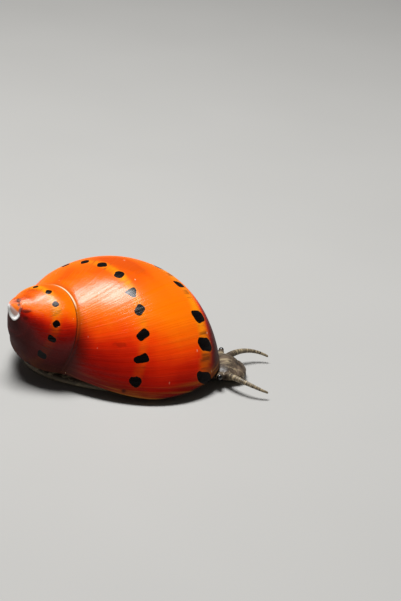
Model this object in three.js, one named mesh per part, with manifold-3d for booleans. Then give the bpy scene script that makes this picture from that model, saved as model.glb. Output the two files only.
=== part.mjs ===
import * as THREE from 'three';
import { mergeVertices } from 'three/addons/utils/BufferGeometryUtils.js';
import Module from 'manifold-3d';

// A nerite snail at life size, in millimetres, +Z up, resting on the floor at Z = 0.
// It faces +X, its right side is toward -Y, and the origin is the middle of its sole.

const { degToRad } = THREE.MathUtils;

// Shell coil: each whorl repeats one outline, larger by this factor after a full turn.
const WHORL_GROWTH = 2.591;
const AXIS_HEADING = degToRad(38.6);
const AXIS_DIP = degToRad(32.9);

// Whorl outline where the last whorl crosses its crest: distance from the axis, depth
// below the apex, and the handles of the two curves that meet at the widest point.
const SUTURE_RADIUS = 4.28;
const SUTURE_DEPTH = 5.48;
const SUTURE_HANDLE_RADIUS = 0.28;
const SUTURE_HANDLE_DEPTH = 1.41;
const WIDEST_RADIUS = 11.31;
const WIDEST_DEPTH = 16.38;
const SHOULDER_HANDLE = 6.95;
const BASE_DEPTH = 22.65;
const BASE_ROUNDNESS = 0.56;

// Place of the shell, and the angle round the axis at which its growing edge stops.
const APEX = new THREE.Vector3(-12.2, -6.3, 9.4);
const LIP_ANGLE = degToRad(132);

// Rim that the shell stands over the foot with: a shallow arc, higher behind and far.
const RIM_LOW = new THREE.Vector3(4.3, -8.9, 0.8);
const RIM_REAR_SLOPE = 0.11;
const RIM_FRONT_RADIUS = 40;
const RIM_FAR_TILT = degToRad(7);

// Aperture in the underside: wall left at the lip, depth, and the edge of the deck.
const LIP_THICKNESS = 0.9;
const APERTURE_DEPTH = 3;
const DECK_EDGE_POINT = new THREE.Vector2(-4.6, -4.4);
const DECK_EDGE_HEADING = degToRad(33);
const DECK_THICKNESS = 1.1;
const DECK_SUNK = 0.25;
const DECK_OVERHANG = 0.4;
const DECK_TEETH = 6;
const DECK_TOOTH_RADIUS = 0.35;
const DECK_TOOTH_STRETCH = 1.2;
const DECK_TOOTH_SPACING = 1.1;
const DECK_TOOTH_START = 4.2;

// Eroded tip of the shell.
const CAP_TIP_DEPTH = 0.42;
const CAP_UNDERSIDE = 1.2;
const CAP_SIDE_GAP = 0.15;
const CAP_UNDER_GAP = 0.24;
const CAP_CROWN = 2.4;
const CAP_RETURN = 0.965;
const CAP_UNDER_RINGS = [[0.15, 0], [0.6, 0.6], [0.97, 1]];
const CAP_SHARES = [1, 0.85, 0.7, 0.55, 0.4, 0.27, 0.14];
const PIT_DEPTH = 0.45;
const PIT_ANGLE = degToRad(30);
const PIT_SPREAD = 0.45;

// Foot, with its heights as shares of the whole and how far each is drawn in.
const SOLE_HALF_LENGTH = 9.5;
const SOLE_HALF_WIDTH = 6.4;
const FOOT_MIDDLE_X = -0.9;
const FOOT_MIDDLE_Y = -0.2;
const FOOT_TAPER = 0.08;
const FOOT_HEIGHT = 1.5;
const FOOT_LEVELS = [
  [0, 0.35],
  [0.12, 0.04],
  [0.28, 0],
  [0.5, 0.25],
  [0.7, 0.9],
  [0.88, 2],
  [1, 3.3],
];
const COLLAR_THICKNESS = 0.6;
const COLLAR_BOTTOM = 0.2;
const COLLAR_TOP = 1.5;

// Horny door on the back of the foot, its levels given as the foot's are.
const OPERCULUM_HALF_LENGTH = 3.1;
const OPERCULUM_WIDTH = 4.6;
const OPERCULUM_BOW = 0.5;
const OPERCULUM_THICKNESS = 0.55;
const OPERCULUM_LEVELS = [[0, 0.3], [0.25, 0.06], [0.5, 0], [0.75, 0.08], [1, 0.4]];
const OPERCULUM_PLACE = new THREE.Vector2(-4.6, -0.9);

// Head: stations along +X as place, half width, underside and top.
const HEAD_Y = -0.4;
const NECK_BACK_X = 8.9;
const NECK_STATIONS = [
  [NECK_BACK_X, 2.3, 0.3, 2.0],
  [9.9, 2.35, 0.3, 2.05],
  [10.9, 2.3, 0.35, 2.1],
];
const HEAD_STATIONS = [
  [11.2, 2.3, 0.35, 2.12],
  [11.7, 2.5, 0.32, 2.25],
  [12.4, 2.5, 0.3, 2.25],
  [12.9, 2.3, 0.28, 2.1],
];
const SNOUT_STATIONS = [
  [13.2, 2.15, 0.25, 1.95],
  [13.8, 1.95, 0.2, 1.7],
  [14.3, 1.55, 0.22, 1.35],
  [14.6, 1, 0.32, 1.0],
];
const MOUTH_X = 14;
const MOUTH_TOP = 0.8;
const MOUTH_HALF_WIDTH = 0.15;
const TENTACLE_X = 12.5;
const TENTACLE_ROOT_Y = 2.75;
const TENTACLE_Z = 1.45;
const TENTACLE_LENGTH = 5;
const TENTACLE_BENDS = [[0.25, 0.22, 0.08], [0.6, 0.42, 0], [0.9, 0.36, -0.12]];
const TENTACLE_ROOT_RADIUS = 0.4;
const TENTACLE_TIP_RADIUS = 0.16;
const EYE_STALK_X = 11.55;
const EYE_STALK_ROOT_Y = 2.75;
const EYE_STALK_Z = 1.35;
const EYE_STALK_RADIUS = 0.34;
const EYE_STALK_TAPER = 0.8;
const EYE_STALK_REACH = [0.1, 0.75, 0.3];
const EYE_RADIUS = 0.3;
const EYE_GAP = 0.15;
const LIMB_TIP_ROUNDING = 0.6;

// Facets.
const SHOULDER_STEPS = 14;
const BASE_STEPS = 9;
const BODY_STEPS = 36;
const SPIRE_STEPS = 30;
const APEX_SIDES = 48;
const RIM_SEGMENTS = 24;
const OPERCULUM_SEGMENTS = 14;
const TOOTH_FACETS = [10, 8];
const EYE_FACETS = [14, 10];
const FOOT_SIDES = 56;
const HEAD_SIDES = 24;
const HEAD_SQUARENESS = 0.8;
const LIMB_SIDES = 10;
const TENTACLE_STEPS = 14;
const EYE_STALK_STEPS = 3;

const WELD_SIZE = 0.004;
const SECTOR_OVERLAP = 0.01;
const CLEARANCE_ANGLE = 0.08;
const SUTURE_CLEARANCE = 0.04;
const REACH_STEP = 0.002;
const REACH = 30;
const SHELL_GLOSS = 0.2;
const WET_ROUGHNESS = 0.4;
const DRY_ROUGHNESS = 0.6;

const GAP = 0.3;
const END_CUT_WIDTH = 0.6;
const TURN = 2 * Math.PI;
const GROWTH_RATE = Math.log(WHORL_GROWTH) / TURN;

const COLOURS = {
  shell: 0xd9691a,
  apex: 0xe6c9a4,
  deck: 0xe9e0c4,
  operculum: 0x7a5a4a,
  flesh: 0x8d8478,
  sole: 0xb9ad97,
  eye: 0x0b0a0a,
};

const UP = new THREE.Vector3(0, 0, 1);
const AXIS = new THREE.Vector3(
  Math.cos(AXIS_DIP) * Math.cos(AXIS_HEADING),
  Math.cos(AXIS_DIP) * Math.sin(AXIS_HEADING),
  -Math.sin(AXIS_DIP),
);
const CREST = UP.clone().addScaledVector(AXIS, -AXIS.z).normalize();
const NEAR = AXIS.clone().cross(CREST);

const wasm = await Module();
wasm.setup();

// Closed meshes into solids, and solids back into meshes.
function toSolid(geometry) {
  const plain = geometry.index ? geometry.toNonIndexed() : geometry.clone();
  plain.deleteAttribute('normal');
  plain.deleteAttribute('uv');
  const merged = mergeVertices(plain, 1e-4);
  return new wasm.Manifold(new wasm.Mesh({
    numProp: 3,
    vertProperties: new Float32Array(merged.attributes.position.array),
    triVerts: new Uint32Array(merged.index.array),
  }));
}

function toGeometry(solid) {
  const mesh = solid.getMesh();
  const geometry = new THREE.BufferGeometry();
  geometry.setAttribute('position', new THREE.BufferAttribute(mesh.vertProperties, 3));
  geometry.setIndex(new THREE.BufferAttribute(mesh.triVerts, 1));
  return geometry;
}

// Joins corners closer than the weld size, and drops the slivers that this closes up.
function weld(geometry) {
  const merged = mergeVertices(geometry, WELD_SIZE);
  const corners = merged.index.array;
  const faces = new Map();
  for (let i = 0; i < corners.length; i += 3) {
    const face = [corners[i], corners[i + 1], corners[i + 2]];
    const [a, b, c] = face;
    if (a !== b && b !== c && c !== a) {
      const key = [...face].sort((p, q) => p - q).join();
      if (faces.has(key)) {
        faces.delete(key);
      } else {
        faces.set(key, face);
      }
    }
  }
  merged.setIndex([...faces.values()].flat());
  return merged;
}

function solidOfFaces(positions) {
  const geometry = new THREE.BufferGeometry();
  geometry.setAttribute('position', new THREE.Float32BufferAttribute(positions, 3));
  return toSolid(geometry);
}

function largest(solid) {
  const bodies = solid.decompose();
  return bodies.reduce((best, body) => (body.volume() > best.volume() ? body : best));
}

// Closed solid through rings of points, each ring counter-clockwise seen from the last.
function loft(rings) {
  const positions = [];
  const face = (...corners) => corners.forEach((corner) => positions.push(...corner.toArray()));
  const middle = (ring) => ring
    .reduce((sum, point) => sum.add(point), new THREE.Vector3())
    .divideScalar(ring.length);
  rings.slice(1).forEach((upper, i) => {
    const lower = rings[i];
    lower.forEach((point, j) => {
      const k = (j + 1) % lower.length;
      face(point, lower[k], upper[k]);
      face(point, upper[k], upper[j]);
    });
  });
  const first = rings[0];
  const last = rings[rings.length - 1];
  const firstMiddle = middle(first);
  const lastMiddle = middle(last);
  first.forEach((point, j) => face(firstMiddle, first[(j + 1) % first.length], point));
  last.forEach((point, j) => face(lastMiddle, point, last[(j + 1) % last.length]));
  return solidOfFaces(positions);
}

// Whorl outline from the suture over the shoulder and round the base to the axis.
const shoulder = new THREE.CubicBezierCurve(
  new THREE.Vector2(SUTURE_RADIUS, SUTURE_DEPTH),
  new THREE.Vector2(SUTURE_RADIUS + SUTURE_HANDLE_RADIUS, SUTURE_DEPTH + SUTURE_HANDLE_DEPTH),
  new THREE.Vector2(WIDEST_RADIUS, WIDEST_DEPTH - SHOULDER_HANDLE),
  new THREE.Vector2(WIDEST_RADIUS, WIDEST_DEPTH),
);
const base = new THREE.CubicBezierCurve(
  new THREE.Vector2(WIDEST_RADIUS, WIDEST_DEPTH),
  new THREE.Vector2(WIDEST_RADIUS, WIDEST_DEPTH + BASE_ROUNDNESS * (BASE_DEPTH - WIDEST_DEPTH)),
  new THREE.Vector2(BASE_ROUNDNESS * WIDEST_RADIUS, BASE_DEPTH),
  new THREE.Vector2(0, BASE_DEPTH),
);
const OUTLINE = [
  ...shoulder.getPoints(SHOULDER_STEPS),
  ...base.getPoints(BASE_STEPS).slice(1, -1),
];

function growth(angle) {
  return Math.exp(GROWTH_RATE * angle);
}

function shellPoint(angle, radius, depth) {
  return APEX.clone()
    .addScaledVector(AXIS, depth)
    .addScaledVector(CREST, radius * Math.cos(angle))
    .addScaledVector(NEAR, radius * Math.sin(angle));
}

// An outline moved in from the outer surface by a wall, or out where the wall is negative.
function moveIn(points, wall) {
  return points.map((point, i) => {
    const before = points[Math.max(i - 1, 0)];
    const after = points[Math.min(i + 1, points.length - 1)];
    const along = after.clone().sub(before).normalize();
    return [point.x - along.y * wall, point.y + along.x * wall];
  });
}

function wholeOutline(angle, wall) {
  const size = growth(angle);
  return moveIn(OUTLINE.map((point) => point.clone().multiplyScalar(size)), wall);
}

// Outline of a covered whorl: it ends just above the suture of the whorl that covers it.
function coveredOutline(angle, wall) {
  const size = growth(angle);
  const end = SUTURE_DEPTH * WHORL_GROWTH - SUTURE_CLEARANCE / size;
  let reach = 1;
  while (shoulder.getPoint(reach).y > end) {
    reach -= REACH_STEP;
  }
  const points = [];
  for (let i = 0; i <= SHOULDER_STEPS; i += 1) {
    points.push(shoulder.getPoint((reach * i) / SHOULDER_STEPS).multiplyScalar(size));
  }
  return moveIn(points, wall);
}

// Solid that an outline sweeps about the axis, from the axis at one depth to the axis at
// another. A sector spans at most half a turn.
function sweepSector(outlineAt, from, to, steps, top, bottom) {
  const rings = [];
  const flats = [];
  for (let i = 0; i <= steps; i += 1) {
    const angle = from + ((to - from) * i) / steps;
    const flat = [[0, top], ...outlineAt(angle), [0, bottom]];
    flats.push(flat.map(([radius, depth]) => new THREE.Vector2(radius, depth)));
    rings.push(flat.map(([radius, depth]) => shellPoint(angle, radius, depth)));
  }
  const positions = [];
  const face = (...corners) => corners.forEach((corner) => positions.push(...corner.toArray()));
  const last = rings[0].length - 2;
  rings.slice(1).forEach((next, i) => {
    const ring = rings[i];
    for (let j = 0; j <= last; j += 1) {
      if (j > 0) {
        face(ring[j], next[j], next[j + 1]);
      }
      if (j < last) {
        face(ring[j], next[j + 1], ring[j + 1]);
      }
    }
  });
  THREE.ShapeUtils.triangulateShape(flats[0], []).forEach(([a, b, c]) => {
    face(rings[0][a], rings[0][b], rings[0][c]);
  });
  THREE.ShapeUtils.triangulateShape(flats[steps], []).forEach(([a, b, c]) => {
    face(rings[steps][a], rings[steps][c], rings[steps][b]);
  });
  return solidOfFaces(positions);
}

// One turn of a whorl as two half turns, with its roof and floor on the axis. Each half
// runs on past its end by an overlap.
function sweepWhorl(outlineAt, from, to, steps, overlap, roof, floor) {
  const middle = (from + to) / 2;
  return [[from, middle], [middle, to]]
    .map(([start, end]) => {
      const size = growth((start + end) / 2);
      return sweepSector(outlineAt, start, end + overlap, steps, roof(size), floor(size));
    })
    .reduce((sum, sector) => sum.add(sector));
}

// The last whorl, or the same moved in by a wall.
function lastWhorl(wall, overlap = SECTOR_OVERLAP) {
  return sweepWhorl(
    (angle) => wholeOutline(angle, wall),
    LIP_ANGLE - TURN,
    LIP_ANGLE,
    BODY_STEPS,
    overlap,
    (size) => SUTURE_DEPTH * size + wall,
    (size) => BASE_DEPTH * size - wall,
  );
}

// A turn that the next one covers below its suture.
function coveredWhorl(from, steps, wall, overlap = SECTOR_OVERLAP) {
  return sweepWhorl(
    (angle) => coveredOutline(angle, wall),
    from,
    from + TURN,
    steps,
    overlap,
    (size) => SUTURE_DEPTH * size + wall,
    (size) => SUTURE_DEPTH * WHORL_GROWTH * size - GAP,
  );
}

// Everything below the rim surface, or below the same surface raised by a height.
function belowRim(raise) {
  const shape = new THREE.Shape();
  const sweepFront = Math.asin(REACH / RIM_FRONT_RADIUS);
  shape.moveTo(-REACH, REACH * RIM_REAR_SLOPE);
  shape.lineTo(0, 0);
  shape.absarc(0, RIM_FRONT_RADIUS, RIM_FRONT_RADIUS, -Math.PI / 2, sweepFront - Math.PI / 2, false);
  shape.lineTo(REACH, -REACH);
  shape.lineTo(-REACH, -REACH);
  const geometry = new THREE.ExtrudeGeometry(shape, {
    depth: 2 * REACH,
    bevelEnabled: false,
    curveSegments: RIM_SEGMENTS,
  });
  geometry.translate(0, 0, -REACH);
  geometry.rotateX(Math.PI / 2);
  geometry.rotateX(RIM_FAR_TILT);
  geometry.translate(RIM_LOW.x, RIM_LOW.y, RIM_LOW.z + raise);
  return toSolid(geometry);
}

// Half space on the aperture's side of the deck edge, moved off it by a distance.
function apertureSide(distance) {
  const geometry = new THREE.BoxGeometry(2 * REACH, 2 * REACH, 2 * REACH);
  geometry.translate(0, -REACH - distance, 0);
  geometry.rotateZ(DECK_EDGE_HEADING);
  geometry.translate(DECK_EDGE_POINT.x, DECK_EDGE_POINT.y, 0);
  return toSolid(geometry);
}

function box(from, to) {
  const size = to.clone().sub(from);
  const middle = to.clone().add(from).multiplyScalar(0.5);
  const geometry = new THREE.BoxGeometry(size.x, size.y, size.z);
  geometry.translate(middle.x, middle.y, middle.z);
  return toSolid(geometry);
}

// Shell: last whorl with the aperture and a seat for the deck cut into its underside.
function makeBodyWhorl() {
  const inside = lastWhorl(LIP_THICKNESS);
  const aperture = inside.intersect(belowRim(APERTURE_DEPTH)).intersect(apertureSide(0));
  const seat = inside
    .intersect(belowRim(DECK_SUNK + DECK_THICKNESS))
    .subtract(apertureSide(DECK_OVERHANG));
  return lastWhorl(0).subtract(belowRim(0)).subtract(aperture).subtract(seat);
}

// Everything within a small angle of the plane in which a turn ends.
function endCut(angle) {
  const geometry = new THREE.BoxGeometry(REACH, REACH, END_CUT_WIDTH);
  geometry.translate(REACH / 2, 0, 0);
  const across = CREST.clone().multiplyScalar(Math.cos(angle))
    .addScaledVector(NEAR, Math.sin(angle));
  const matrix = new THREE.Matrix4()
    .makeBasis(across, AXIS, across.clone().cross(AXIS))
    .setPosition(APEX);
  geometry.applyMatrix4(matrix);
  return toSolid(geometry);
}

// The whorl before the last shows between its two sutures.
function makeSpire() {
  const start = LIP_ANGLE - 2 * TURN;
  return coveredWhorl(start, SPIRE_STEPS, 0)
    .subtract(lastWhorl(-GAP, CLEARANCE_ANGLE))
    .subtract(endCut(LIP_ANGLE))
    .subtract(belowRim(0));
}

// Ring of the worn cap: a share of the way from the axis to the suture round it. The
// suture winds outward over the turn, and the last of the turn runs back to its start.
function capRing(share, depthAt) {
  const ring = [];
  for (let i = APEX_SIDES; i > 0; i -= 1) {
    const turned = i / APEX_SIDES;
    const back = Math.max(0, (turned - CAP_RETURN) / (1 - CAP_RETURN));
    const angle = LIP_ANGLE - 2 * TURN + TURN * (turned - back);
    const size = growth(angle);
    const radius = share * (SUTURE_RADIUS * size - CAP_SIDE_GAP);
    const shown = LIP_ANGLE - 2 * TURN + TURN * turned;
    const depth = depthAt(SUTURE_DEPTH * size - CAP_UNDER_GAP, shown);
    ring.push(shellPoint(shown, radius, depth));
  }
  return ring;
}

// The first whorls are one small cap, worn to a low crown with a pit beside the tip.
function makeApex() {
  const worn = (share) => (edgeDepth, angle) => {
    const rise = THREE.MathUtils.lerp(CAP_TIP_DEPTH, edgeDepth, share ** CAP_CROWN);
    const away = share * Math.abs(Math.sin((angle - PIT_ANGLE) / 2));
    return rise + PIT_DEPTH * Math.exp(-((away / PIT_SPREAD) ** 2)) * (1 - share);
  };
  const under = (rise) => (edgeDepth) => THREE.MathUtils.lerp(CAP_UNDERSIDE, edgeDepth, rise);
  return loft([
    ...CAP_UNDER_RINGS.map(([share, rise]) => capRing(share, under(rise))),
    ...CAP_SHARES.map((share) => capRing(share, worn(share))),
  ]);
}

// Shelf across the rear half of the underside, its free edge set with small teeth.
function makeDeck() {
  const room = lastWhorl(LIP_THICKNESS + GAP);
  const thickness = DECK_THICKNESS - GAP;
  let deck = largest(room
    .intersect(belowRim(DECK_SUNK + thickness))
    .subtract(belowRim(DECK_SUNK))
    .subtract(apertureSide(DECK_OVERHANG)));
  const along = new THREE.Vector3(Math.cos(DECK_EDGE_HEADING), Math.sin(DECK_EDGE_HEADING), 0);
  const out = new THREE.Vector3(along.y, -along.x, 0);
  for (let i = 0; i < DECK_TEETH; i += 1) {
    const place = new THREE.Vector3(DECK_EDGE_POINT.x, DECK_EDGE_POINT.y, 0)
      .addScaledVector(along, DECK_TOOTH_START + i * DECK_TOOTH_SPACING)
      .addScaledVector(out, DECK_OVERHANG);
    const tooth = new THREE.SphereGeometry(DECK_TOOTH_RADIUS, ...TOOTH_FACETS);
    tooth.scale(1, 1, DECK_TOOTH_STRETCH);
    tooth.translate(place.x, place.y, rimHeight(place) + DECK_SUNK + thickness / 2);
    deck = deck.add(toSolid(tooth));
  }
  return deck;
}

// Height of the rim surface over a place in plan.
function rimHeight(place) {
  const ahead = place.x - RIM_LOW.x;
  const along = ahead < 0
    ? -ahead * RIM_REAR_SLOPE
    : RIM_FRONT_RADIUS - Math.sqrt(RIM_FRONT_RADIUS ** 2 - ahead ** 2);
  return RIM_LOW.z + along + (place.y - RIM_LOW.y) * Math.tan(RIM_FAR_TILT);
}

// Egg-shaped ring of the foot in plan, drawn in by an inset, at a height.
function footRing(height, inset) {
  const ring = [];
  for (let i = 0; i < FOOT_SIDES; i += 1) {
    const angle = (TURN * i) / FOOT_SIDES;
    const taper = 1 + FOOT_TAPER * Math.cos(angle);
    ring.push(new THREE.Vector3(
      FOOT_MIDDLE_X + (SOLE_HALF_LENGTH - inset) * Math.cos(angle),
      FOOT_MIDDLE_Y + (SOLE_HALF_WIDTH - inset) * taper * Math.sin(angle),
      height,
    ));
  }
  return ring;
}

function makeFoot() {
  return loft(FOOT_LEVELS.map(([height, inset]) => footRing(height * FOOT_HEIGHT, inset)));
}

// Flesh that rises from the foot into the aperture.
function makeColumn() {
  const room = lastWhorl(LIP_THICKNESS + COLLAR_THICKNESS + 2 * GAP);
  const low = box(
    new THREE.Vector3(-REACH, -REACH, -REACH),
    new THREE.Vector3(REACH, REACH, FOOT_HEIGHT + GAP),
  );
  const front = box(
    new THREE.Vector3(NECK_BACK_X - GAP, -REACH, -REACH),
    new THREE.Vector3(REACH, REACH, REACH),
  );
  return largest(room
    .intersect(belowRim(APERTURE_DEPTH - GAP))
    .intersect(apertureSide(DECK_OVERHANG + DECK_TOOTH_RADIUS + GAP))
    .subtract(low)
    .subtract(front));
}

// Edge of the mantle, a thin lip of flesh just inside the rim.
function makeCollar() {
  const outer = lastWhorl(LIP_THICKNESS + GAP);
  const inner = lastWhorl(LIP_THICKNESS + GAP + COLLAR_THICKNESS);
  return largest(outer
    .subtract(inner)
    .intersect(belowRim(COLLAR_TOP))
    .subtract(belowRim(COLLAR_BOTTOM))
    .intersect(apertureSide(DECK_OVERHANG + DECK_TOOTH_RADIUS + GAP)));
}

// Horny half-moon door with rounded edges, carried flat on the back of the foot.
function makeOperculum() {
  const shape = new THREE.Shape();
  shape.moveTo(-OPERCULUM_HALF_LENGTH, 0);
  shape.quadraticCurveTo(0, -OPERCULUM_BOW, OPERCULUM_HALF_LENGTH, 0);
  shape.bezierCurveTo(
    OPERCULUM_HALF_LENGTH,
    OPERCULUM_WIDTH,
    -OPERCULUM_HALF_LENGTH,
    OPERCULUM_WIDTH,
    -OPERCULUM_HALF_LENGTH,
    0,
  );
  const outline = shape.getPoints(OPERCULUM_SEGMENTS).slice(0, -1);
  const middle = OPERCULUM_WIDTH / 2;
  return loft(OPERCULUM_LEVELS.map(([rise, inset]) => outline.map((point) => (
    new THREE.Vector3(
      point.x * (1 - inset / OPERCULUM_HALF_LENGTH),
      middle + (point.y - middle) * (1 - inset / middle),
      rise * OPERCULUM_THICKNESS,
    )
      .applyAxisAngle(UP, DECK_EDGE_HEADING)
      .add(new THREE.Vector3(OPERCULUM_PLACE.x, OPERCULUM_PLACE.y, FOOT_HEIGHT + GAP))
  ))));
}

// Ring of a limb across the +X direction: centre, half width and half height.
function crossRing(x, y, z, halfWidth, halfHeight) {
  const ring = [];
  for (let i = 0; i < HEAD_SIDES; i += 1) {
    const angle = (TURN * i) / HEAD_SIDES;
    const corner = (value) => Math.sign(value) * Math.abs(value) ** HEAD_SQUARENESS;
    ring.push(new THREE.Vector3(
      x,
      y + halfWidth * corner(Math.cos(angle)),
      z + halfHeight * corner(Math.sin(angle)),
    ));
  }
  return ring;
}

// Head, neck and snout are stations along +X: place, half width, underside and top.
function makeStations(stations) {
  return loft(stations.map(([x, halfWidth, low, high]) => (
    crossRing(x, HEAD_Y, (low + high) / 2, halfWidth, (high - low) / 2)
  )));
}

function makeSnout() {
  const snout = makeStations(SNOUT_STATIONS);
  const slit = box(
    new THREE.Vector3(MOUTH_X, HEAD_Y - MOUTH_HALF_WIDTH, 0),
    new THREE.Vector3(REACH, HEAD_Y + MOUTH_HALF_WIDTH, MOUTH_TOP),
  );
  return largest(snout.subtract(slit));
}

// Tapered limb along a curve, with a rounded tip.
function makeLimb(curve, rootRadius, tipRadius, steps) {
  const rings = [];
  const side = new THREE.Vector3();
  const over = new THREE.Vector3();
  const ringAt = (centre, along, radius) => {
    side.crossVectors(UP, along).normalize();
    over.crossVectors(along, side);
    const ring = [];
    for (let i = 0; i < LIMB_SIDES; i += 1) {
      const angle = (TURN * i) / LIMB_SIDES;
      ring.push(centre.clone()
        .addScaledVector(side, radius * Math.cos(angle))
        .addScaledVector(over, radius * Math.sin(angle)));
    }
    return ring;
  };
  for (let i = 0; i <= steps; i += 1) {
    const t = i / steps;
    const radius = THREE.MathUtils.lerp(rootRadius, tipRadius, t);
    rings.push(ringAt(curve.getPointAt(t), curve.getTangentAt(t), radius));
  }
  const tip = curve.getPointAt(1);
  const along = curve.getTangentAt(1);
  const rounding = LIMB_TIP_ROUNDING * tipRadius;
  rings.push(ringAt(tip.addScaledVector(along, rounding), along, rounding));
  return loft(rings);
}

// side is -1 for the right of the body and 1 for the left.
function makeTentacle(side) {
  const root = new THREE.Vector3(TENTACLE_X, HEAD_Y + side * TENTACLE_ROOT_Y, TENTACLE_Z);
  const bends = TENTACLE_BENDS.map(([ahead, out, up]) => (
    root.clone().addScaledVector(new THREE.Vector3(ahead, side * out, up), TENTACLE_LENGTH)
  ));
  const curve = new THREE.CubicBezierCurve3(root, ...bends);
  return makeLimb(curve, TENTACLE_ROOT_RADIUS, TENTACLE_TIP_RADIUS, TENTACLE_STEPS);
}

function eyeStalkCurve(side) {
  const root = new THREE.Vector3(EYE_STALK_X, HEAD_Y + side * EYE_STALK_ROOT_Y, EYE_STALK_Z);
  const [ahead, out, up] = EYE_STALK_REACH;
  const tip = root.clone().add(new THREE.Vector3(ahead, side * out, up));
  return new THREE.LineCurve3(root, tip);
}

function makeEyeStalk(side) {
  const tipRadius = EYE_STALK_TAPER * EYE_STALK_RADIUS;
  return makeLimb(eyeStalkCurve(side), EYE_STALK_RADIUS, tipRadius, EYE_STALK_STEPS);
}

function makeEye(side) {
  const curve = eyeStalkCurve(side);
  const tipRadius = EYE_STALK_TAPER * EYE_STALK_RADIUS;
  const centre = curve.getPoint(1)
    .addScaledVector(curve.getTangent(1), LIMB_TIP_ROUNDING * tipRadius + EYE_GAP + EYE_RADIUS);
  const geometry = new THREE.SphereGeometry(EYE_RADIUS, ...EYE_FACETS);
  geometry.translate(centre.x, centre.y, centre.z);
  return toSolid(geometry);
}

const snail = new THREE.Group();

function addPart(name, solid, colour, roughness) {
  const mesh = new THREE.Mesh(
    toGeometry(largest(toSolid(weld(toGeometry(largest(solid)))))),
    new THREE.MeshStandardMaterial({ color: colour, roughness, metalness: 0 }),
  );
  mesh.name = name;
  snail.add(mesh);
}

addPart('shell_body_whorl', makeBodyWhorl(), COLOURS.shell, SHELL_GLOSS);
addPart('shell_spire', makeSpire(), COLOURS.shell, SHELL_GLOSS);
addPart('shell_apex', makeApex(), COLOURS.apex, DRY_ROUGHNESS);
addPart('shell_deck', makeDeck(), COLOURS.deck, SHELL_GLOSS);
addPart('operculum', makeOperculum(), COLOURS.operculum, DRY_ROUGHNESS);
addPart('foot', makeFoot(), COLOURS.sole, WET_ROUGHNESS);
addPart('foot_column', makeColumn(), COLOURS.flesh, WET_ROUGHNESS);
addPart('mantle_collar', makeCollar(), COLOURS.flesh, WET_ROUGHNESS);
addPart('neck', makeStations(NECK_STATIONS), COLOURS.flesh, WET_ROUGHNESS);
addPart('head', makeStations(HEAD_STATIONS), COLOURS.flesh, WET_ROUGHNESS);
addPart('snout', makeSnout(), COLOURS.flesh, WET_ROUGHNESS);
[['right', -1], ['left', 1]].forEach(([name, side]) => {
  addPart(`tentacle_${name}`, makeTentacle(side), COLOURS.flesh, WET_ROUGHNESS);
  addPart(`eye_stalk_${name}`, makeEyeStalk(side), COLOURS.flesh, WET_ROUGHNESS);
  addPart(`eye_${name}`, makeEye(side), COLOURS.eye, SHELL_GLOSS);
});

export default snail;
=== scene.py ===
"""A life-size nerite snail, crawling with its head out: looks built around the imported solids."""

import logging
import math
from dataclasses import astuple, dataclass, field
from enum import Enum
from typing import Callable, Mapping, Sequence

import bpy
import numpy as np
from mathutils import Matrix, Vector


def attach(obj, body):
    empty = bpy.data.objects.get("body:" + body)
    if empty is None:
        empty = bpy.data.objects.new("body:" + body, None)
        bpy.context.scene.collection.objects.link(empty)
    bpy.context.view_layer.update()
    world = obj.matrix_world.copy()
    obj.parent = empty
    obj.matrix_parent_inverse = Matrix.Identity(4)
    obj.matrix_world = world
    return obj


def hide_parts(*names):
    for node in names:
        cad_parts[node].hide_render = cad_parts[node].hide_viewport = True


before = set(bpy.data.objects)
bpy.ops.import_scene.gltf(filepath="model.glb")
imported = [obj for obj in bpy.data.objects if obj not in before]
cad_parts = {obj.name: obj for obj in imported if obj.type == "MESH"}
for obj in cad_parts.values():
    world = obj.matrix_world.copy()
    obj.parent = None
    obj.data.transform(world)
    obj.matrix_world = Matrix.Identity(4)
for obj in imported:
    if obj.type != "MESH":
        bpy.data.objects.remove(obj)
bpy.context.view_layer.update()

MM = 0.001
WELD = 1e-6
log = logging.getLogger("nerite")

Array = np.ndarray
Material = bpy.types.Material
Piece = bpy.types.Object
Socket = bpy.types.NodeSocket
Colour = tuple[float, float, float, float]
Point = tuple[float, float, float]
Span = tuple[float, float]
Paint = Socket | Colour
Stops = Sequence[tuple[float, Colour]]
Sockets = Mapping[str | int, object]


class Slot(Enum):
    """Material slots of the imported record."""

    SHELL = "shell"
    FLESH = "flesh"
    EYE = "eye"


def srgb(red: int, green: int, blue: int) -> Colour:
    """Linear colour of a display colour.

    Args:
        red: Red, from 0 to 255.
        green: Green.
        blue: Blue.

    Returns:
        The colour, with an alpha of 1.
    """
    parts = [value / 255 for value in (red, green, blue)]
    linear = [part / 12.92 if part <= 0.04045 else ((part + 0.055) / 1.055) ** 2.4 for part in parts]
    return (linear[0], linear[1], linear[2], 1.0)


# Shader expressions


def _operator(operation: str, swapped: bool = False) -> Callable[..., "Number"]:
    """Makes a method of Number that adds one Math node.

    Args:
        operation: Name of the node's operation.
        swapped: Whether the number itself goes in last.

    Returns:
        The method.
    """

    def run(self: "Number", *others: "Number | float") -> "Number":
        """Adds the node and gives its result.

        Args:
            others: Its further numbers.

        Returns:
            The result.
        """
        values = (*others, self) if swapped else (self, *others)
        node = self.finish.node("ShaderNodeMath", dict(enumerate(values)), operation=operation)
        return Number(self.finish, node.outputs[0])

    return run


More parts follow.
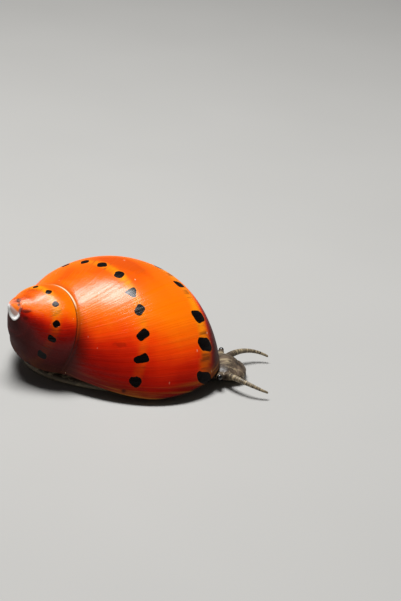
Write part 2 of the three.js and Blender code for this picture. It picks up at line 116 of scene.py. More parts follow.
class Number:
    """A socket that carries a number, for shader maths written as Python expressions."""

    def __init__(self, finish: "Surface", socket: Socket) -> None:
        """Keeps the material that the socket belongs to."""
        self.finish = finish
        self.socket = socket

    __add__ = _operator("ADD")
    __sub__ = _operator("SUBTRACT")
    __rsub__ = _operator("SUBTRACT", swapped=True)
    __mul__ = _operator("MULTIPLY")
    __truediv__ = _operator("DIVIDE")
    __pow__ = _operator("POWER")
    __abs__ = _operator("ABSOLUTE")
    least = _operator("MINIMUM")
    most = _operator("MAXIMUM")
    root = _operator("SQRT")

    def step(self, low: float, high: float) -> "Number":
        """A smooth rise from 0 to 1, or a fall where low is the larger.

        Args:
            low: Where it is 0.
            high: Where it is 1.

        Returns:
            The rise or fall.
        """
        start, end = sorted((low, high))
        falls = float(low > high)
        sockets = {"Value": self, "From Min": start, "From Max": end, "To Min": falls, "To Max": 1 - falls}
        node = self.finish.node("ShaderNodeMapRange", sockets, interpolation_type="SMOOTHSTEP")
        return Number(self.finish, node.outputs[0])


class Surface:
    """One procedural material, built from nodes."""

    def __init__(self, name: str) -> None:
        """Starts an empty material with its output.

        Args:
            name: Its name.
        """
        self.material = bpy.data.materials.new(name)
        self.material.use_nodes = True
        self.tree = self.material.node_tree
        self.tree.nodes.clear()
        self.output = self.tree.nodes.new("ShaderNodeOutputMaterial")

    def node(self, kind: str, sockets: Sockets | None = None, **settings: object) -> bpy.types.Node:
        """Adds a node.

        Args:
            kind: Node type.
            sockets: Values or links for its inputs, by name or number.
            settings: Its properties, set first. A colour ramp's stops go in as "stops".

        Returns:
            The node.
        """
        node = self.tree.nodes.new(kind)
        for name, value in settings.items():
            if name == "stops":
                self._stops(node, value)
            else:
                setattr(node, name, value)
        for name, value in (sockets or {}).items():
            socket = node.inputs[name]
            source = value.socket if isinstance(value, Number) else value
            if isinstance(source, Socket):
                self.tree.links.new(source, socket)
            else:
                socket.default_value = source
        return node

    def _stops(self, node: bpy.types.Node, stops: Stops) -> None:
        """Sets the places and colours of a colour ramp.

        Args:
            node: The colour ramp.
            stops: Place from 0 to 1 and colour of each.
        """
        ramp = node.color_ramp
        while len(ramp.elements) > 1:
            ramp.elements.remove(ramp.elements[-1])
        ramp.elements[0].position, ramp.elements[0].color = stops[0]
        for place, colour in stops[1:]:
            ramp.elements.new(place).color = colour

    def split(self, vector: Socket) -> list[Number]:
        """The three numbers of a vector."""
        parts = self.node("ShaderNodeSeparateXYZ", {0: vector})
        return [Number(self, socket) for socket in parts.outputs]

    def attribute(self, name: str) -> list[Number]:
        """The three numbers of a mesh attribute."""
        return self.split(self.node("ShaderNodeAttribute", attribute_name=name).outputs["Vector"])

    def place(self) -> Socket:
        """Object coordinates."""
        return self.node("ShaderNodeTexCoord").outputs["Object"]

    def from_point(self, place: Socket, point: Point) -> list[Number]:
        """How far a place is from a point in millimetres, along each axis."""
        return [part * (1 / MM) - where for part, where in zip(self.split(place), point)]

    def join(self, x: "Number | float", y: "Number | float", z: "Number | float") -> Socket:
        """A vector of three numbers."""
        return self.node("ShaderNodeCombineXYZ", {0: x, 1: y, 2: z}).outputs[0]

    def noise(self, vector: Socket, scale: float, detail: float = 2.0, roughness: float = 0.5) -> Number:
        """Cloudy noise from 0 to 1 about 0.5, with so many lumps to one unit and finer layers over them."""
        sockets = {"Vector": vector, "Scale": scale, "Detail": detail, "Roughness": roughness}
        return Number(self, self.node("ShaderNodeTexNoise", sockets).outputs["Fac"])

    def lay(self, under: Paint, *layers: tuple["Number | float", Paint]) -> Socket:
        """Lays colours over one another.

        Args:
            under: Lowest colour.
            layers: How much of each further colour shows, and the colour.

        Returns:
            The mixed colour.
        """
        for share, over in layers:
            node = self.node("ShaderNodeMix", {0: share, 6: under, 7: over}, data_type="RGBA")
            under = node.outputs[2]
        return under

    def ramp(self, value: Number, stops: Stops) -> Socket:
        """Colour of a value between stops."""
        return self.node("ShaderNodeValToRGB", {0: value}, stops=stops).outputs[0]

    def relief(self, height: Number, depth: float, onto: Socket | None = None) -> Socket:
        """Fine relief as a bent normal.

        Args:
            height: Height from 0 to 1.
            depth: How deep that is, in metres.
            onto: Normal that it is added to.

        Returns:
            The normal.
        """
        sockets: dict[str, object] = {"Height": height, "Distance": depth, "Strength": 1.0}
        if onto is not None:
            sockets["Normal"] = onto
        return self.node("ShaderNodeBump", sockets).outputs[0]

    def finish(self, sockets: Sockets) -> Material:
        """Puts the coating on the output.

        Args:
            sockets: Values or links of the Principled shader.

        Returns:
            The material.
        """
        shader = self.node("ShaderNodeBsdfPrincipled", sockets)
        self.tree.links.new(shader.outputs[0], self.output.inputs[0])
        return self.material


# Modelling by hand


def deselect() -> None:
    """Leaves nothing selected."""
    bpy.ops.object.select_all(action="DESELECT")


def take(piece: Piece) -> None:
    """Makes one piece the only selected and the active one.

    Args:
        piece: The piece.
    """
    deselect()
    piece.select_set(True)
    bpy.context.view_layer.objects.active = piece


def apply_modifier(piece: Piece, kind: str, **settings: object) -> None:
    """Adds a modifier with its settings and applies it.

    Args:
        piece: The piece.
        kind: Type of the modifier.
        settings: Its properties.
    """
    take(piece)
    modifier = piece.modifiers.new(kind.title(), kind)
    for name, value in settings.items():
        setattr(modifier, name, value)
    bpy.ops.object.modifier_apply(modifier=modifier.name)


def corners(piece: Piece, name: str = "co") -> Array:
    """Reads a vector of each of a mesh's vertices, its place in metres unless another is named.

    Args:
        piece: The piece.
        name: Which vector.

    Returns:
        One row for each vertex.
    """
    flat = np.empty(len(piece.data.vertices) * 3)
    piece.data.vertices.foreach_get(name, flat)
    return flat.reshape(-1, 3)


def move_corners(piece: Piece, places: Array) -> None:
    """Puts a mesh's vertices at new places, in metres."""
    piece.data.vertices.foreach_set("co", np.ascontiguousarray(places, dtype=float).ravel())
    piece.data.update()


def added(name: str) -> Piece:
    """Names the piece that was just made, and its mesh.

    Args:
        name: Name of both.

    Returns:
        The piece.
    """
    piece = bpy.context.object
    piece.name = piece.data.name = name
    return piece


def grid_sheet(name: str, columns: int, rows: int) -> tuple[Piece, Array, Array]:
    """Adds a flat grid, to be laid over a form.

    Args:
        name: Name of the piece.
        columns: Number of faces along it.
        rows: Number of faces across it.

    Returns:
        The grid, and the column and the row of each of its vertices.
    """
    deselect()
    bpy.ops.mesh.primitive_grid_add(x_subdivisions=columns, y_subdivisions=rows, size=1)
    piece = added(name)
    steps = np.rint((corners(piece)[:, :2] + 0.5) * (columns, rows)).astype(int)
    return piece, steps[:, 0], steps[:, 1]


def close_mesh(piece: Piece, distance: float, fill: bool = False) -> None:
    """Merges doubles, fills open ends if asked, and turns the faces outwards.

    Args:
        piece: The mesh.
        distance: How close two vertices are when they merge, in metres.
        fill: Whether open ends are filled.
    """
    take(piece)
    bpy.ops.object.mode_set(mode="EDIT")
    bpy.ops.mesh.select_all(action="SELECT")
    bpy.ops.mesh.remove_doubles(threshold=distance)
    if fill:
        bpy.ops.mesh.fill_holes(sides=0)
    bpy.ops.mesh.select_all(action="SELECT")
    bpy.ops.mesh.normals_make_consistent(inside=False)
    bpy.ops.object.mode_set(mode="OBJECT")


def circle(sides: int) -> Array:
    """Angles of points evenly round a circle."""
    return np.linspace(0, 2 * np.pi, sides, endpoint=False)


def points_of(x: Array | float, y: Array | float, z: Array | float) -> Array:
    """Points from their coordinates, any of which may be one number for all."""
    return np.stack(np.broadcast_arrays(x, y, z), axis=1)


def rise(value: Array, low: float, high: float) -> Array:
    """A straight rise from 0 at low to 1 at high, or a fall where low is the larger."""
    return np.clip((value - low) / (high - low), 0, 1)


def ease(value: Array, low: float, high: float) -> Array:
    """A rise or fall like that, with smooth ends."""
    share = rise(value, low, high)
    return share * share * (3 - 2 * share)


def swell(value: Array, middle: float, spread: float, power: int = 2) -> Array:
    """1 at a middle value, dying away within the spread on both sides."""
    return np.exp(-(((value - middle) / spread) ** power))


def loft(name: str, rings: Sequence[Array]) -> Piece:
    """A closed form over rings of points.

    Args:
        name: Name of the piece.
        rings: One array of points in millimetres for each ring, all of one length.

    Returns:
        The piece.
    """
    places = np.array(rings)
    count, sides = places.shape[:2]
    piece, ring, turn = grid_sheet(name, count - 1, sides)
    move_corners(piece, places[ring, turn % sides] * MM)
    close_mesh(piece, WELD, fill=True)
    return piece


def store(piece: Piece, name: str, domain: str, values: Array) -> None:
    """Keeps three numbers for each point or face corner, for the material to read."""
    layer = piece.data.attributes.new(name, "FLOAT_VECTOR", domain)
    layer.data.foreach_set("vector", values.astype(np.float32).ravel())


def weigh(piece: Piece, name: str, weights: Array) -> None:
    """Makes a vertex group with a weight for each vertex.

    Args:
        piece: The piece.
        name: Name of the group.
        weights: Weight of each, from 0 to 1.
    """
    group = piece.vertex_groups.new(name=name)
    for index in np.nonzero(weights)[0]:
        group.add([int(index)], float(weights[index]), "REPLACE")


def smooth(piece: Piece, angle: float | None = None) -> None:
    """Shades a piece smoothly.

    Args:
        piece: The piece.
        angle: Edges sharper than this, in radians, stay sharp. None smooths all.
    """
    take(piece)
    if angle is None:
        bpy.ops.object.shade_smooth()
    else:
        bpy.ops.object.shade_smooth_by_angle(angle=angle)


def dress(piece: Piece, material: Material) -> None:
    """Gives a piece one material."""
    piece.data.materials.clear()
    piece.data.materials.append(material)


def seat(piece: Piece, slot: Slot, *nodes: str) -> None:
    """Lets a finished piece ride on the body in place of its solids.

    Args:
        piece: The piece.
        slot: Not used.
        nodes: Solids that it stands for.
    """
    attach(piece, "root")
    if nodes:
        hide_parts(*nodes)
    log.info("%s: %d faces", piece.name, len(piece.data.polygons))


# The shell


def curve_points(handles: Sequence[Sequence[float]], share: Array) -> Array:
    """Points of a cubic curve.

    Args:
        handles: Its four control points.
        share: Places along it, from 0 to 1.

    Returns:
        One point for each share.
    """
    a, b, c, d = (np.array(handle) for handle in handles)
    t = share[:, None]
    return (1 - t) ** 3 * a + 3 * (1 - t) ** 2 * t * b + 3 * (1 - t) * t**2 * c + t**3 * d


@dataclass(frozen=True)
class Coil:
    """The shell's coil in millimetres: one outline, larger by the growth after each turn."""

    growth: float = 2.591
    heading: float = math.radians(38.6)
    dip: float = math.radians(32.9)
    apex: Point = (-12.2, -6.3, 9.4)
    suture: Span = (4.28, 5.48)
    suture_handle: Span = (4.56, 6.89)
    widest: Span = (11.31, 16.38)
    shoulder_handle: float = 6.95
    base_depth: float = 22.65
    base_roundness: float = 0.56
    rim_low: Point = (4.3, -8.9, 0.8)
    rim_rear_slope: float = 0.11
    rim_front_radius: float = 40.0
    rim_far_tilt: float = math.radians(7)
    crown_angle: float = -588.0
    crown_blend: float = 190.0
    crown_slope: float = 1.1
    crown_blunt: float = 0.75
    tip_depth: float = 0.88
    cover_search: Span = (0.5, 1.0)
    worn_outline: Span = (0.1, 0.5)
    slope_step: float = 0.004
    rim_samples: int = 1001
    arc_samples: int = 2001
    cover_samples: int = 4001

    def axes(self) -> tuple[Array, Array, Array]:
        """Directions of the axis, of the crest and of the near side.

        Returns:
            Three unit vectors.
        """
        flat = math.cos(self.dip)
        axis = np.array([flat * math.cos(self.heading), flat * math.sin(self.heading), -math.sin(self.dip)])
        crest = np.array([0.0, 0.0, 1.0]) - axis * axis[2]
        crest /= np.linalg.norm(crest)
        return axis, crest, np.cross(axis, crest)

    def scale(self, angle: Array) -> Array:
        """Size of the whorl at an angle in degrees, 1 at the last crest."""
        return self.growth ** (angle / 360)

    def outline(self, share: Array) -> Array:
        """Radius and depth along the outline, in millimetres at the last crest.

        Args:
            share: Places on it, 0 to 1 over the shoulder and 1 to 2 round the base.

        Returns:
            One row of both for each share.
        """
        radius, depth = self.widest
        shoulder = [self.suture, self.suture_handle, (radius, depth - self.shoulder_handle), self.widest]
        base = [
            self.widest,
            (radius, depth + self.base_roundness * (self.base_depth - depth)),
            (self.base_roundness * radius, self.base_depth),
            (0.0, self.base_depth),
        ]
        upper = curve_points(shoulder, np.clip(share, 0, 1))
        lower = curve_points(base, np.clip(share - 1, 0, 1))
        return np.where((share <= 1)[:, None], upper, lower)

    def outward(self, share: Array) -> Array:
        """Direction out of the outline.

        Args:
            share: Places on it.

        Returns:
            One unit row of radius and depth for each share.
        """
        step = self.slope_step
        along = self.outline(share + step) - self.outline(np.maximum(share - step, 0))
        along /= np.linalg.norm(along, axis=1)[:, None]
        return np.stack([along[:, 1], -along[:, 0]], axis=1)

    def worn_share(self, angle: Array) -> Array:
        """How far the suture has come out of the worn crown, from 0 where it starts to 1."""
        return ease(angle, self.crown_angle, self.crown_angle + self.crown_blend)

    def _worn(self, angle: Array, share: Array, radius: Array, depth: Array) -> Array:
        """Depth after the first whorls are worn to one smooth, blunt cone.

        Args:
            angle: Degrees round the axis.
            share: Place along the outline.
            radius: Radius of the whorl there.
            depth: Depth of the whorl there.

        Returns:
            The new depth.
        """
        blunt = self.crown_blunt
        crown = self.tip_depth + self.crown_slope * (np.sqrt(radius**2 + blunt**2) - blunt)
        eased = crown + (depth - crown) * ease(share, *self.worn_outline)
        first = crown + (eased - crown) * self.worn_share(angle)
        second = eased + (depth - eased) * self.worn_share(angle - 360)
        return np.where(angle < self.crown_angle + 360, first, second)

    def points(self, angle: Array, share: Array, lift: Array | float = 0.0) -> Array:
        """Points of the surface in millimetres.

        Args:
            angle: Degrees round the axis, 0 on the last crest.
            share: Place along the outline.
            lift: How far off the surface, as a share of the whorl's size.

        Returns:
            One point for each angle.
        """
        flat = self.outline(share) + self.outward(share) * np.broadcast_to(lift, share.shape)[:, None]
        radius, depth = (flat * self.scale(angle)[:, None]).T
        depth = self._worn(angle, share, radius, depth)
        turn = np.radians(angle)
        along_axes = points_of(depth, radius * np.cos(turn), radius * np.sin(turn))
        return np.array(self.apex) + along_axes @ np.array(self.axes())

    def rim_height(self, places: Array) -> Array:
        """Height of the shell's rim at each place.

        Args:
            places: Points in millimetres.

        Returns:
            The heights in millimetres.
        """
        ahead = places[:, 0] - self.rim_low[0]
        rear = -ahead * self.rim_rear_slope
        reach = np.clip(ahead, 0, self.rim_front_radius - 1)
        front = self.rim_front_radius - np.sqrt(self.rim_front_radius**2 - reach**2)
        tilt = (places[:, 1] - self.rim_low[1]) * math.tan(self.rim_far_tilt)
        return self.rim_low[2] + np.where(ahead < 0, rear, front) + tilt

    def covered_share(self) -> float:
        """Where the next whorl's suture meets the outline."""
        shares = np.linspace(*self.cover_search, self.cover_samples)
        return float(np.interp(self.suture[1] * self.growth, self.outline(shares)[:, 1], shares))

    def rim_share(self, angle: float) -> float:
        """Finds where the outline at an angle reaches the rim.

        Args:
            angle: Degrees round the axis.

        Returns:
            The share of the outline, or 2 where it stays above.
        """
        shares = np.linspace(0, 2, self.rim_samples)
        places = self.points(np.full(shares.shape, angle), shares)
        above = places[:, 2] - self.rim_height(places)
        if above.min() >= 0:
            return 2.0
        first = int(np.argmax(above < 0))
        if first == 0:
            return 0.0
        part = above[first - 1] / (above[first - 1] - above[first])
        return float(shares[first - 1] + part * (shares[first] - shares[first - 1]))

    def arc(self, share: Array | float) -> Array:
        """Length of the outline from the suture.

        Args:
            share: Places on the outline.

        Returns:
            The lengths, in millimetres at the last crest.
        """
        shares = np.linspace(0, 2, self.arc_samples)
        steps = np.linalg.norm(np.diff(self.outline(shares), axis=0), axis=1)
        return np.interp(share, shares, np.concatenate([[0], np.cumsum(steps)]))


@dataclass(frozen=True)
class Spot:
    """One dark spot: angle on the coil, size in millimetres, lean in degrees, taper, shift off its row."""

    angle: float
    length: float
    width: float
    lean: float
    taper: float = 0.0
    shift: float = 0.0


@dataclass(frozen=True)
class SpotRow:
    """A row of spots on a yellow band, which runs round the coil at one place on the outline."""

    name: str
    share: float
    spots: tuple[Spot, ...]
    band_reach: float = 0.85
    band_strength: float = 0.6

    def nearest(self, angle: Array) -> Array:
        """Looks up the spot nearest to each angle.

        Args:
            angle: Degrees round the axis.

        Returns:
            The fields of the spots in their order, each with one number for each angle.
        """
        spots = np.array([astuple(spot) for spot in self.spots])
        edges = (spots[1:, 0] + spots[:-1, 0]) / 2
        return spots[np.searchsorted(edges, angle)].T


SIZE_SPREAD: Span = (0.85, 1.12)
WIDTH_SPREAD: Span = (0.85, 1.15)
LEAN_SPREAD: Span = (-14, 14)
TAPER_SPREAD: Span = (-0.25, 0.25)


def hidden_spots(
    angles: Sequence[float], length: float, width: float, lean: float, growth: float, seed: int
) -> tuple[Spot, ...]:
    """Spots that vary a little about one form and grow along the coil.

    Args:
        angles: Where they are.
        length: Length at the last crest.
        width: Width there.
        lean: Lean in degrees.
        growth: How much larger they are after a full turn.
        seed: Start of the random draw.

    Returns:
        The spots.
    """
    draw = np.random.default_rng(seed).uniform
    spots = []
    for angle in angles:
        size = growth ** (angle / 360) * draw(*SIZE_SPREAD)
        across = width * size * draw(*WIDTH_SPREAD)
        spots.append(Spot(angle, length * size, across, lean + draw(*LEAN_SPREAD), draw(*TAPER_SPREAD)))
    return tuple(spots)


ROW_ONE = SpotRow(
    "row_one",
    0.575,
    (
        Spot(-376.8, 0.72, 0.50, 120),
        Spot(-343.5, 0.76, 0.56, 130, 0.1),
        Spot(-315.2, 0.76, 0.54, 132),
        Spot(-283.3, 0.86, 0.60, 138),
        Spot(-260.7, 0.96, 0.56, 98, -0.1),
        Spot(-233.4, 1.16, 0.66, 112, -0.1),
    )
    + hidden_spots((-204, -182, -159.7, -137.1, -115.2, -94.2, -74, -54.7, -36), 1.35, 0.74, 128, 1.9, 2)
    + (
        Spot(-18.0, 1.25, 0.78, 130),
        Spot(-1.6, 1.22, 0.94, 140, -0.15),
        Spot(16.2, 1.30, 0.92, 130, 0.05),
        Spot(33.5, 1.46, 0.80, 136, -0.36),
        Spot(48.0, 1.48, 0.84, 141, 0.06),
        Spot(63.9, 1.62, 0.86, 138, 0.05),
        Spot(78.0, 1.78, 0.78, 124, 0.08),
        Spot(91.3, 1.04, 1.46, 28, -0.42),
    )
    + hidden_spots((105.0, 119.0, 134.0), 1.25, 0.7, 120, 1.9, 3),
    band_strength=0.9,
)
ROW_TWO = SpotRow(
    "row_two",
    0.968,
    hidden_spots(
        (-250, -227, -204, -182, -161, -140, -120, -101, -83, -65, -47, -29.5, -12.0), 1.7, 1.05, 105, 1.7, 4
    )
    + (
        Spot(6.1, 1.6, 1.0, 108),
        Spot(23.6, 1.66, 0.92, 108, -0.1, -0.18),
        Spot(44.3, 2.12, 1.36, 116, -0.1),
        Spot(58.8, 2.22, 1.40, 106, 0.05, -0.08),
        Spot(74.6, 2.25, 1.25, 96, 0.1, -0.3),
    )
    + hidden_spots((91.0, 107.0, 123.0, 139.0), 1.7, 1.05, 105, 1.7, 5),
    band_reach=1.25,
    band_strength=1.0,
)
ROW_THREE = SpotRow(
    "row_three",
    1.38,
    hidden_spots(
        (-250, -225, -201, -178, -156, -134, -113, -93, -73, -54, -36, -19, -1)
        + (17, 33, 51, 67, 84, 100, 117, 134),
        1.6, 0.95, 84, 1.7, 6,
    ),
)


@dataclass(frozen=True)
class Dab:
    """A brown smudge: middle and half sizes in millimetres, and strength."""

    place: Point
    reach: Point
    strength: float


@dataclass(frozen=True)
class Crater:
    """Worn pit at the tip, drawn out along its lean and pressed in one direction, in millimetres."""

    middle: Point = (-11.0, -5.97, 8.68)
    lean: Span = (0.42, 0.91)
    stretch: float = 0.54
    radius: float = 0.5
    rim_width: float = 0.34
    wall_radius: float = 0.66
    wall_steepness: int = 6
    depth: float = 0.36
    press: Point = (0.56, 0.65, -0.51)

    def sink(self, places: Array) -> Array:
        """Presses the pit in, all in one direction.

        Args:
            places: Points in millimetres.

        Returns:
            The points, moved.
        """
        off = places - np.array(self.middle)
        along = off[:, 1] * self.lean[0] + off[:, 2] * self.lean[1]
        reach = np.sqrt(np.maximum((off**2).sum(axis=1) - along**2 * self.stretch, 0))
        depth = self.depth * swell(reach, 0, self.wall_radius, self.wall_steepness)
        return places + depth[:, None] * np.array(self.press)


@dataclass(frozen=True)
class ShellGlaze:
    """Glossy orange shell with bands, spots and growth lines, with painted light and shade: amber where
    faces turn up, dark maroon where they turn down.
    """

    # Painted light and shade: the shell's orange, amber on faces turned up and deepening to dark maroon on
    # faces turned down.
    facing: Stops = tuple(
        (level, srgb(*shade))
        for level, *shade in (
            (0.0, 34, 4, 3), (0.42, 62, 5, 4), (0.54, 96, 7, 4), (0.65, 144, 12, 4),
            (0.70, 178, 20, 3), (0.75, 220, 37, 2), (0.79, 250, 68, 1), (0.83, 255, 102, 1),
            (0.87, 255, 118, 1), (0.92, 255, 114, 2), (0.97, 246, 100, 2), (1.0, 206, 76, 2),
        )
    )
    yellow: Colour = srgb(255, 150, 4)
    amber: Colour = srgb(250, 118, 10)
    red: Colour = srgb(150, 16, 4)
    olive: Colour = srgb(150, 84, 12)
    brown: Colour = srgb(60, 16, 6)
    spot: Colour = srgb(9, 5, 5)
    white: Colour = srgb(255, 253, 250)
    pink: Colour = srgb(228, 188, 176)
    # Colour of the painted highlight along the suture and of the painted glints.
    painted_highlight: Colour = srgb(255, 226, 188)
    lip: Colour = srgb(176, 112, 30)
    crater: Crater = Crater()
    spot_corner: float = 0.88
    spot_fray: float = 0.2
    strand_slant: float = 0.125
    strand_depth: float = 0.00005
    thread_depth: float = 0.00001
    dabs: tuple[Dab, ...] = (
        Dab((-9.6, -6.2, 8.68), (0.62, 0.8, 0.17), 0.8),
        Dab((-9.6, -6.5, 8.02), (0.3, 0.8, 0.2), 0.6),
        Dab((-10.65, -5.3, 9.41), (0.2, 0.3, 0.16), 0.8),
        Dab((-10.9, -6.1, 7.3), (0.45, 0.6, 0.2), 0.7),
        Dab((0.63, -6.87, 5.95), (0.75, 0.8, 0.28), 0.3),
        Dab((1.49, -8.87, 1.5), (0.28, 0.6, 0.2), 0.85),
    )

    def _spots(self, made: Surface, row: SpotRow, fray: Number) -> tuple[Number, Number]:
        """Marks out one row of spots.

        Args:
            made: The material.
            row: The row.
            fray: Noise about 0 that frays the edges.

        Returns:
            Millimetres outside a spot's edge, and millimetres off the row's middle line.
        """
        length, width, off = made.attribute(row.name)
        half_length, half_width, taper = made.attribute(row.name + "_form")
        side = half_width + length * taper
        corner = half_width * self.spot_corner
        beyond_length = abs(length) - (half_length - corner)
        beyond_width = abs(width) - (side - corner)
        outer = (beyond_length.most(0.0) ** 2 + beyond_width.most(0.0) ** 2).root()
        inner = beyond_length.most(beyond_width).least(0.0)
        return outer + inner - corner + fray * self.spot_fray, off

    def material(self, rows: Sequence[SpotRow]) -> Material:
        """Builds the glaze over the coil's own coordinates.

        Args:
            rows: Its rows of spots.

        Returns:
            The material.
        """
        made = Surface("shell_glaze")
        turn, share, above_rim = made.attribute("coil")
        own, next_seam, _ = made.attribute("seams")
        ahead, left, up = made.attribute("facing")
        place = made.place()
        x, _, height = made.from_point(place, (0.0, 0.0, 0.0))
        fray = made.noise(place, 1900.0, 3.0) - 0.5
        slant = turn + share * self.strand_slant
        strands = made.noise(made.join(slant * 150.0, share * 1.5, 0.0), 1.0, 4.0, 0.62)
        threads = made.noise(made.join(slant * 620.0, share * 2.6, 4.0), 1.0, 3.0, 0.6)
        clouds = made.noise(made.join(turn * 9.0, share * 3.2, 2.0), 1.0, 3.0)
        # Painted light and shade: lighter on faces turned up, darker on faces turned forward and on the far
        # side, whose darkest end is eased; clouds and strands add random tone.
        far = left.step(0.1, 0.7)
        level = up * 0.5 + 0.5 - ahead.step(0.6, 1.0) * 0.38 - far * 0.07
        level = level.most(far * 0.65) + (clouds - 0.5) * 0.13 + (strands - 0.5) * 0.018
        colour = made.ramp(level, self.facing)
        # Painted light: the yellow bands, the halos round the spots, the yellow growth streaks and the
        # glints are laid stronger on faces turned up.
        lit = up.step(0.3, 0.8) * 0.95 + 0.05
        spots = [self._spots(made, row, fray) for row in rows]
        for row, (edge, off) in zip(rows, spots):
            band = off.step(row.band_reach, 0.1) * clouds.step(0.3, 0.6) * lit
            dashes = off.step(0.95, 0.35) * edge.step(0.1, 0.45) * strands.step(0.48, 0.62)
            colour = made.lay(
                colour,
                (band * row.band_strength, self.yellow),
                (dashes * clouds.step(0.34, 0.52) * 0.65, self.brown),
            )
        rim = above_rim.step(1.4, 0.3)
        front = x.step(-2.0, 2.0) * 0.45 + 0.1
        # Painted highlight: a pale line along the suture, only on its high part, where light catches it.
        pale = own.step(0.27, 0.16) * own.step(0.02, 0.05) * height.step(8.6, 9.3) * x.step(-8.0, -6.0)
        colour = made.lay(
            colour,
            # Painted shade: brown below the suture on faces turned down. The olive tint below the suture is
            # kept to the higher part, where light falls, and the yellow growth streaks are stronger where
            # lit: both partly painted light.
            (own.step(2.6, 0.3) * up.step(0.8, 0.3) * 0.62, self.brown),
            (own.step(1.2, 0.1) * height.step(5.5, 8.0) * 0.5, self.olive),
            (strands.step(0.45, 0.8) * lit * 0.06, self.yellow),
            (threads.step(0.6, 0.8) * 0.08, self.red),
            (rim * 0.45, self.brown),
            (rim * strands.step(0.44, 0.62) * front, self.lip),
            (pale * 0.9, self.painted_highlight),
            (own.step(0.05, 0.0).most(next_seam.step(0.11, 0.03)) * 0.9, self.brown),
        )
        bare: Number | float = 1.0
        for edge, _ in spots:
            halo = edge.step(0.2, 0.04) * clouds.step(0.35, 0.6) * lit
            ink = edge.step(0.05, 0.0)
            colour = made.lay(colour, (halo * 0.3, self.yellow), (ink, self.spot))
            bare = (1 - ink).least(bare)
        # Painted glints: small pale dots off the spots, brighter on faces turned up.
        sockets = {"Vector": made.join(turn * 17.0, share * 9.0, 0.0), "Scale": 1.0}
        cells = made.node("ShaderNodeTexVoronoi", sockets, voronoi_dimensions="2D")
        glint = Number(made, cells.outputs["Distance"]).step(0.036, 0.018) * clouds.step(0.52, 0.56)
        colour = made.lay(colour, (glint * bare * (lit * 0.6 + 0.1), self.painted_highlight))
        for dab in self.dabs:
            x, y, z = (part / size for part, size in zip(made.from_point(place, dab.place), dab.reach))
            reach = (x * x + y * y + z * z).root() + fray * 1.6
            colour = made.lay(colour, (reach.step(1.2, 0.5) * dab.strength, self.brown))
        crater = self.crater
        x, y, z = made.from_point(place, crater.middle)
        along = y * crater.lean[0] + z * crater.lean[1]
        reach = (x * x + y * y + z * z - along * along * crater.stretch).root() + fray * 0.3
        low_side = (x * -0.5 - z * 0.85).step(-0.12, 0.12)
        brink = crater.radius + crater.rim_width
        inside = reach.step(crater.radius + 0.04, crater.radius - 0.02)
        edge_ring = reach.step(brink + 0.05, brink) * (1 - inside)
        broken = reach.step(brink + 0.35, brink + 0.05) * fray.step(0.0, 0.06)
        colour = made.lay(
            colour,
            (broken * 0.85, self.brown),
            (inside, made.lay(self.amber, (low_side, self.pink))),
            # The worn rim is white; its low side, where it catches the light, is laid whiter: partly real
            # wear, partly painted highlight.
            (edge_ring * (low_side * 0.9 + 0.1), self.white),
        )
        wear = inside.most(edge_ring)
        turned = ahead.step(0.55, 0.85).most(left.step(-0.25, 0.15))
        dull = up.step(0.35, -0.25).most(turned * 0.5)
        relief = made.relief(strands * (1 - wear * 0.85), self.strand_depth)
        return made.finish(
            {
                "Base Color": colour,
                "Roughness": strands * 0.3 + wear * 0.2 + dull * 0.5 + 0.08,
                "Normal": made.relief(threads, self.thread_depth, relief),
                "Coat Weight": up.step(-0.1, 0.45) * (1 - turned) * (strands.step(0.36, 0.64) * 0.34 + 0.04),
                "Coat Roughness": 0.18,
                "IOR": 1.27,
            }
        )


